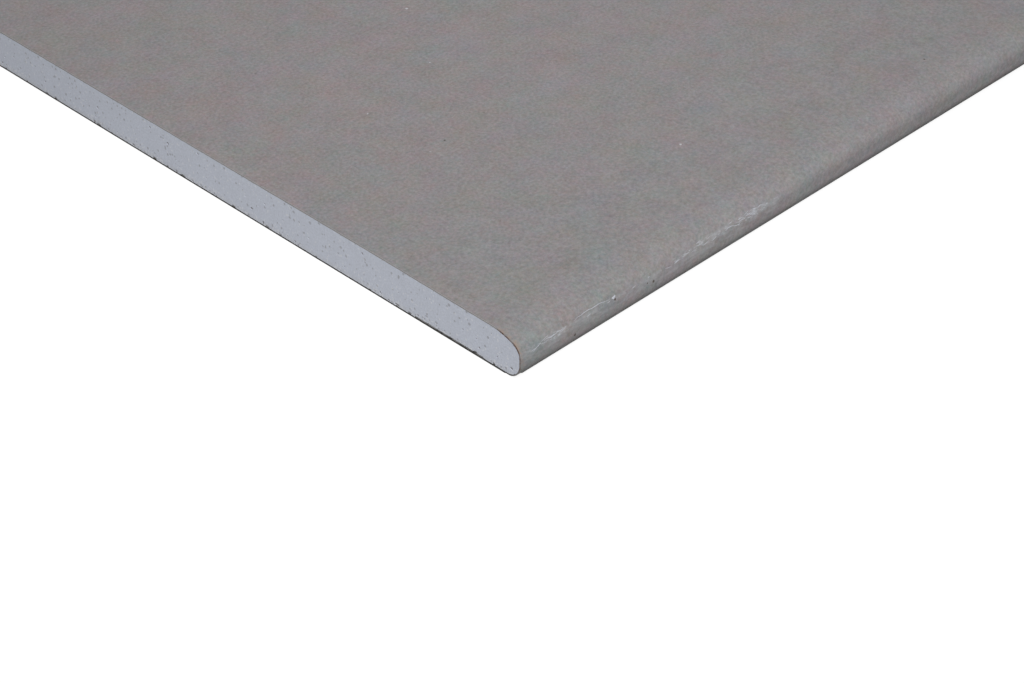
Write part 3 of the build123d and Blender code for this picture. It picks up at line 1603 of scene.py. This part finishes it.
@dataclass(frozen=True)
class Slivers:
    """Sizes of the slivers that are strewn over a surface.

    The crowd is their number for each square metre where the wear is full.
    """

    crowd: float
    longest: float
    width: float
    thickness: float
    slant: float
    columns: int
    seed: int

    def strew(self, name: str, surface: bpy.types.Mesh, material: bpy.types.Material) -> bpy.types.Object:
        """Strew the slivers and fix them to the sheet.

        Args:
            name: Name of the piece.
            surface: The surface, with its wear at every point. It is used up.
            material: Material of the slivers.

        Returns:
            The finished piece.
        """
        values = {
            "Crowd": self.crowd,
            "Longest": self.longest,
            "Width": self.width,
            "Thickness": self.thickness,
            "Slant": self.slant,
            "Columns": self.columns,
            "Seed": self.seed,
            "Material": material,
        }
        return settle(SliverTree().run(linked("sliver_bed", surface), name, values), Slot.FACE_PAPER)


class WornSurface:
    """A surface that slivers are strewn over, put together strip by strip."""

    def __init__(self) -> None:
        """Start without any strips."""
        self.points: list[tuple[float, ...]] = []
        self.faces: list[list[int]] = []
        self.wear: list[float] = []

    def add(
        self, first: list[tuple[float, ...]], second: list[tuple[float, ...]], wear: float, flip: bool = False
    ) -> None:
        """Add a strip between two rows of points.

        Args:
            first: One row.
            second: The other row, of the same length.
            wear: How worn the strip is.
            flip: Whether the strip's faces are turned over.
        """
        start, count = len(self.points), len(first)
        self.points += [*first, *second]
        self.wear += [wear] * (2 * count)
        for k in range(start, start + count - 1):
            face = [k, k + 1, k + 1 + count, k + count]
            self.faces.append(face[::-1] if flip else face)

    def mesh(self) -> bpy.types.Mesh:
        """Make the surface's mesh, which keeps the wear.

        Returns:
            The mesh.
        """
        mesh = bpy.data.meshes.new("worn_surface")
        mesh.from_pydata(self.points, [], self.faces)
        mesh.attributes.new(WEAR_ATTRIBUTE, "FLOAT", "POINT").data.foreach_set("value", self.wear)
        return mesh


@dataclass
class RubbedSlivers:
    """Slivers of paper that rubbing has raised along the nose of the near long edge."""

    section: EdgeSection
    stretches: tuple[RubbedStretch, ...]
    slivers: Slivers = Slivers(2.2e6, 3.0 * MM, 0.15 * MM, 0.03 * MM, 0.3, 5, 11)
    lowest: float = 0.75 * MM
    rows: int = 5

    def build(self, material: bpy.types.Material) -> bpy.types.Object:
        """Build the slivers and fix them to the sheet.

        Args:
            material: Their material.

        Returns:
            The finished piece.
        """
        surface = WornSurface()
        for stretch in self.stretches:
            low = max(stretch.low, self.lowest)
            rises = [low + (stretch.high - low) * k / self.rows for k in range(self.rows + 1)]
            lines = [self.line(stretch, rise) for rise in rises]
            for first, second in zip(lines, lines[1:]):
                surface.add(first, second, stretch.streaks)
        return self.slivers.strew("rubbed_slivers", surface.mesh(), material)

    def line(self, stretch: RubbedStretch, rise: float) -> list[tuple[float, ...]]:
        """Give the two ends of a stretch at one distance round the nose."""
        y, z = self.section.on_nose(rise)
        return [(x, -y, z) for x in stretch.along(self.section.size)]


@dataclass
class SawnFringe:
    """Torn fibres of both papers that the saw has left hanging over the core's ends."""

    section: EdgeSection
    slivers: Slivers = Slivers(9e6, 0.7 * MM, 0.09 * MM, 0.016 * MM, 0.9, 3, 23)
    shallow: float = 0.36 * MM
    deep: float = 0.56 * MM
    inset: float = 0.016 * MM

    def build(self, material: bpy.types.Material) -> bpy.types.Object:
        """Build the fringe and fix it to the sheet.

        Args:
            material: Its material.

        Returns:
            The finished piece.
        """
        surface = WornSurface()
        edge = self.section.size.back_edge
        steps = ceil(2 * edge / self.section.face_step)
        back = [edge * (2 * k / steps - 1) for k in range(steps + 1)]
        for end in SawnEnd:
            x = end.value * (self.section.size.half_length - self.inset)
            outer, inner = self.section.across(self.shallow), self.section.across(self.deep)
            surface.add([(x, *p) for p in outer], [(x, *p) for p in inner], 1.0, end is SawnEnd.B)
            low, high = [(x, y, self.shallow) for y in back], [(x, y, self.deep) for y in back]
            surface.add(low, high, 1.0, end is SawnEnd.A)
        return self.slivers.strew("sawn_fringe", surface.mesh(), material)


@dataclass
class TornFleck:
    """A fleck of face paper, torn on the nose, whose lower edge has curled outwards."""

    section: EdgeSection
    along: float = 33.0 * MM
    rise: float = 2.0 * MM
    length: float = 1.3 * MM
    height: float = 0.6 * MM
    lift: float = 0.16 * MM
    thickness: float = 0.05 * MM
    sunk: float = 0.02 * MM
    thinning: float = 0.6
    slant: float = 0.25
    columns: int = 10
    rows: int = 5

    def build(self, material: bpy.types.Material) -> bpy.types.Object:
        """Build the fleck and fix it to the sheet.

        Args:
            material: Its material.

        Returns:
            The finished piece.
        """
        across = self.columns + 1
        places = [(i, j) for j in range(self.rows + 1) for i in range(across)]
        points = [self.point(i, j, top) for top in (1, 0) for i, j in places]
        half = len(points) // 2
        faces = []
        for j in range(self.rows):
            for i in range(self.columns):
                a = j * across + i
                faces.append([a, a + 1, a + across + 1, a + across])
                faces.append([k + half for k in (a, a + across, a + across + 1, a + 1)])
        rim = list(range(across)) + [j * across + self.columns for j in range(1, self.rows + 1)]
        rim += list(range(self.rows * across + self.columns - 1, self.rows * across - 1, -1))
        rim += [j * across for j in range(self.rows - 1, 0, -1)]
        for a, b in zip(rim, rim[1:] + rim[:1]):
            faces.append([b, a, a + half, b + half])
        mesh = mesh_of("torn_fleck", points, faces)
        mesh.materials.append(material)
        mesh.shade_smooth()
        return settle(linked("torn_fleck", mesh), Slot.FACE_PAPER)

    def point(self, i: int, j: int, top: int) -> tuple[float, float, float]:
        """Place one point of the fleck.

        Args:
            i: Its column, along the sheet.
            j: Its row, down round the nose.
            top: 1 for the outer skin, 0 for the inner one.

        Returns:
            The point.
        """
        size = self.section.size
        run, fall = i / self.columns - 0.5, j / self.rows
        ragged = noise.noise(Vector((run * 6, fall * 3, 4.2)))
        reach = self.height * fall * (1 - 3 * run * run) * (1 + 0.5 * ragged)
        skin = self.thickness * top * (1 - self.thinning * fall)
        out = self.lift * fall * fall * (1 + ragged) + skin
        y, z = self.section.on_nose(self.rise + self.slope(run) - reach, depth=self.sunk - out)
        return (self.along - size.half_length + self.length * run, -y, z)

    def slope(self, run: float) -> float:
        """Say how far the fleck's upper line rises along it."""
        return self.slant * self.length * run


@dataclass
class RaisedStrips:
    """Long fibres pulled out of the near nose, each lying along its own bent line.

    The points of a line are distances along the sheet from its sawn end A and round
    the nose from where its arc begins.
    """

    section: EdgeSection
    lines: tuple[tuple[Point, ...], ...] = (
        (
            (18 * MM, 1.8 * MM),
            (20 * MM, 2.1 * MM),
            (24.5 * MM, 2.4 * MM),
            (29 * MM, 2.2 * MM),
            (33 * MM, 1.7 * MM),
        ),
        ((8 * MM, 1.3 * MM), (9 * MM, 1.6 * MM), (11.5 * MM, 1.5 * MM), (14.5 * MM, 1.7 * MM)),
        ((3 * MM, 0.6 * MM), (5 * MM, 0.9 * MM), (7.5 * MM, 1.3 * MM)),
        ((74.5 * MM, 1.9 * MM), (77 * MM, 1.7 * MM), (79.5 * MM, 1.1 * MM)),
        ((87.5 * MM, 2.2 * MM), (89.5 * MM, 2.4 * MM), (91.5 * MM, 1.7 * MM)),
    )
    width: float = 0.2 * MM
    thickness: float = 0.06 * MM
    bed: float = 0.015 * MM
    crown: float = 0.6
    step: float = 0.5 * MM
    waver: float = 1.5 * MM

    def build(self, material: bpy.types.Material) -> bpy.types.Object:
        """Build the strips and fix them to the sheet.

        Args:
            material: Their material.

        Returns:
            The finished piece.
        """
        points: list[tuple[float, ...]] = []
        faces: list[list[int]] = []
        for line in self.lines:
            first = len(points)
            stations = self.stations(line)
            for k, station in enumerate(stations):
                points += self.ring(station, sin(pi * (k + 0.4) / (len(stations) - 0.2)))
            for k in range(len(stations) - 1):
                a = first + 4 * k
                faces += [[a + i, a + (i + 1) % 4, a + 4 + (i + 1) % 4, a + 4 + i] for i in range(4)]
            faces += [list(range(first, first + 4)), list(range(len(points) - 4, len(points)))]
        mesh = mesh_of("raised_strips", points, faces)
        mesh.materials.append(material)
        return settle(linked("raised_strips", mesh), Slot.FACE_PAPER)

    def stations(self, line: tuple[Point, ...]) -> list[Point]:
        """Divide a line into short steps that waver a little.

        Args:
            line: The line's bends.

        Returns:
            Its stations, from one end to the other.
        """
        made = []
        for (x0, s0), (x1, s1) in zip(line, line[1:]):
            count = ceil((x1 - x0) / self.step)
            for k in range(count):
                x, s = x0 + (x1 - x0) * k / count, s0 + (s1 - s0) * k / count
                wavered = noise.noise(Vector((x / self.waver, s / MM, 2.7)))
                made.append((x, s + self.width * wavered))
        return [*made, line[-1]]

    def ring(self, station: Point, share: float) -> list[tuple[float, float, float]]:
        """Give the four corners of a strip at one station.

        Args:
            station: Where on the nose the strip's middle lies.
            share: Share of the full width and thickness there.

        Returns:
            The corners, in order round the strip.
        """
        along, rise = station
        half = self.width * share / 2
        top, low = self.bed - self.thickness * share, self.bed
        corners = []
        crown = self.crown * half
        for offset, depth in ((-half, low), (half, low), (crown, top), (-crown, top)):
            y, z = self.section.on_nose(rise + offset, depth)
            corners.append((along - self.section.size.half_length, -y, z))
        return corners


@dataclass(frozen=True)
class Lamp:
    """A soft lamp that lights the sheet but isn't seen."""

    name: str
    kind: LampKind
    place: tuple[float, float, float]
    target: tuple[float, float, float]
    watts: float
    diameter: float
    cone: float = 0.0

    def build(self) -> bpy.types.Object:
        """Build the lamp, turned towards its target.

        Returns:
            The lamp's object.
        """
        light = bpy.data.lights.new(self.name, self.kind.value)
        light.energy = self.watts
        if self.kind is LampKind.DISK:
            light.shape = "DISK"
            light.size = self.diameter
        else:
            light.shadow_soft_size = self.diameter / 2
            light.spot_size = self.cone
            light.spot_blend = 1.0
        made = linked(self.name, light)
        made.location = self.place
        ray = Vector(self.target) - Vector(self.place)
        made.rotation_euler = ray.to_track_quat("-Z", "Y").to_euler()
        made.visible_camera = False
        return made


@dataclass
class Studio:
    """White floor, even light and the camera."""

    size: SheetSize
    floor_half: float = 20.0
    floor_gap: float = 0.05 * MM
    # Painted contact shadow: how far in from the long edges the floor's glow is left out.
    painted_shadow_inset: float = 2.3 * MM
    painted_shadow_corner_cut: float = 3.0 * MM
    floor_grey: float = 0.27
    floor_glow: float = 0.82
    sky: float = 0.435
    lens: float = 84.81
    sensor: float = 36.0
    elevation: float = radians(36.835)
    heading: float = radians(44.846)
    camera_place: tuple[float, float, float] = (-1.32721, -0.94764, 0.35650)
    lamps: tuple[Lamp, ...] = (
        Lamp("key_lamp", LampKind.DISK, (-1.75, -3.05, 3.2), (-0.6, -0.4, 0.0), 97.0, 2.4),
        Lamp(
            "corner_lamp",
            LampKind.CONE,
            (-2.95, -2.55, 2.09),
            (-0.965, -0.59, 0.0),
            90.0,
            0.1,
            radians(6.2),
        ),
    )

    def build(self) -> None:
        """Set up the whole studio."""
        bpy.context.scene.view_settings.view_transform = "Standard"
        self.build_floor()
        self.build_world()
        for lamp in self.lamps:
            lamp.build()
        self.build_camera()
        LOG.info("studio: floor, world, %d lamps and the camera", len(self.lamps))

    def build_floor(self) -> None:
        """Lay the floor, which looks white but still takes the sheet's shadow."""
        half, low = self.floor_half, -self.floor_gap
        corners = [(-half, -half, low), (half, -half, low), (half, half, low), (-half, half, low)]
        mesh = bpy.data.meshes.new("floor")
        mesh.from_pydata(corners, [], [(0, 1, 2, 3)])
        material = bpy.data.materials.new("white_floor")
        material.use_nodes = True
        tree = Tree(material.node_tree)
        tree.tree.nodes.clear()
        grey = rgba((self.floor_grey,) * 3)
        matte = tree.node("ShaderNodeBsdfDiffuse", {"Color": grey}).outputs[0]
        along, across, _ = tree.split(tree.node("ShaderNodeTexCoord").outputs["Object"])
        # Painted contact shadow: the glow is left out under the sheet, in from its long edges and with its
        # corners cut, so the floor there shows only its grey, dark in the sheet's shade.
        foot_along, foot_across = self.size.half_length, self.size.half_width - self.painted_shadow_inset
        out_along, out_across = tree.math("ABSOLUTE", along), tree.math("ABSOLUTE", across)
        beyond_end = tree.math("GREATER_THAN", out_along, foot_along)
        beyond_edge = tree.math("GREATER_THAN", out_across, foot_across)
        corner = foot_along + foot_across - self.painted_shadow_corner_cut
        beyond_corner = tree.math("GREATER_THAN", tree.math("ADD", out_along, out_across), corner)
        beyond_edge = tree.math("MAXIMUM", beyond_edge, beyond_corner)
        strength = tree.math("MULTIPLY", tree.math("MAXIMUM", beyond_end, beyond_edge), self.floor_glow)
        glow = tree.node("ShaderNodeEmission", {"Color": rgba(WHITE), "Strength": strength})
        lit = tree.node("ShaderNodeAddShader", {0: matte, 1: glow.outputs[0]}).outputs[0]
        shader = tree.node("ShaderNodeMixShader", {0: self.seen(tree), 1: matte, 2: lit}).outputs[0]
        tree.node("ShaderNodeOutputMaterial", {0: shader})
        mesh.materials.append(material)
        linked("floor", mesh)

    def build_world(self) -> None:
        """Fill the room with even light, in front of a white backdrop."""
        world = bpy.data.worlds.new("white_room")
        world.use_nodes = True
        tree = Tree(world.node_tree)
        tree.tree.nodes.clear()
        white = rgba(WHITE)
        light = tree.node("ShaderNodeBackground", {"Color": white, "Strength": self.sky}).outputs[0]
        backdrop = tree.node("ShaderNodeBackground", {"Color": white, "Strength": 1.0}).outputs[0]
        shader = tree.node("ShaderNodeMixShader", {0: self.seen(tree), 1: light, 2: backdrop}).outputs[0]
        tree.node("ShaderNodeOutputWorld", {0: shader})
        bpy.context.scene.world = world

    def seen(self, tree: Tree) -> bpy.types.NodeSocket:
        """Give 1 for rays that show a surface: from the camera, or mirrored or sent on by gloss.

        Args:
            tree: The tree that needs to know.

        Returns:
            The result's socket.
        """
        path = tree.node("ShaderNodeLightPath").outputs
        direct = tree.math("MAXIMUM", path["Is Camera Ray"], path["Is Glossy Ray"])
        return tree.math("MAXIMUM", direct, path["Is Transmission Ray"])

    def build_camera(self) -> None:
        """Place the camera where the photograph was taken from."""
        camera = bpy.data.cameras.new("camera")
        camera.lens = self.lens
        camera.sensor_width = self.sensor
        camera.clip_start = 0.01
        made = linked("camera", camera)
        level = Vector((cos(self.heading), sin(self.heading), 0.0))
        forward = level * cos(self.elevation) - Vector((0.0, 0.0, sin(self.elevation)))
        right = forward.cross(Vector((0.0, 0.0, 1.0))).normalized()
        turned = Matrix((right, right.cross(forward), -forward)).transposed().to_4x4()
        made.matrix_world = Matrix.Translation(self.camera_place) @ turned
        bpy.context.scene.camera = made


def main() -> None:
    """Build the sheet, dress it, and set up the studio."""
    logging.basicConfig(level=logging.INFO, format="%(name)s %(message)s")
    size = SheetSize.from_frame()
    section = EdgeSection(size)
    effects = Effects()

    face_finish = PaperFinish(
        "grey_face_paper",
        paper=(0.263, 0.2442, 0.2465),
        sawn_edge=(0.36, 0.35, 0.35),
        sawn_nose=(0.12, 0.075, 0.06),
        low_edge_shade=0.45,
        rubbed=RUBBED,
        marks=MARKS,
    )
    back_finish = PaperFinish(
        "brown_back_paper",
        paper=(0.265, 0.245, 0.23),
        # Painted shade: the back paper's sawn edge is near black all along, far darker than the paper itself.
        sawn_edge=(0.045, 0.043, 0.04),
        sawn_nose=(0.045, 0.043, 0.04),
        grain=Grain(0.9 * MM, 0.82, 12 * MM, 0.2),
    )
    outer, inner = section.across(0.0), section.across(size.paper)
    face_material = face_finish.material(effects, section)
    SawnPaper("face_paper_wrap", Slot.FACE_PAPER, size, outer, inner).build(face_material)
    SawnFringe(section).build(face_material)
    edge = size.back_edge
    back = SawnPaper(
        "back_paper_sheet",
        Slot.BACK_PAPER,
        size,
        outer=[(-edge, 0.0), (edge, 0.0)],
        inner=[(-edge, size.paper), (edge, size.paper)],
    )
    back.build(back_finish.material(effects, section))
    core = GypsumCore(section)
    core.build(GypsumFinish().material(effects, size, core.recess))
    rubbed_up = PlainGrainFinish("rubbed_up_fibres", (0.47, 0.485, 0.53)).material(effects)
    RubbedSlivers(section, RUBBED).build(rubbed_up)
    TornFleck(section).build(rubbed_up)
    RaisedStrips(section).build(rubbed_up)

    Studio(size).build()


if __name__ == "__main__":
    main()
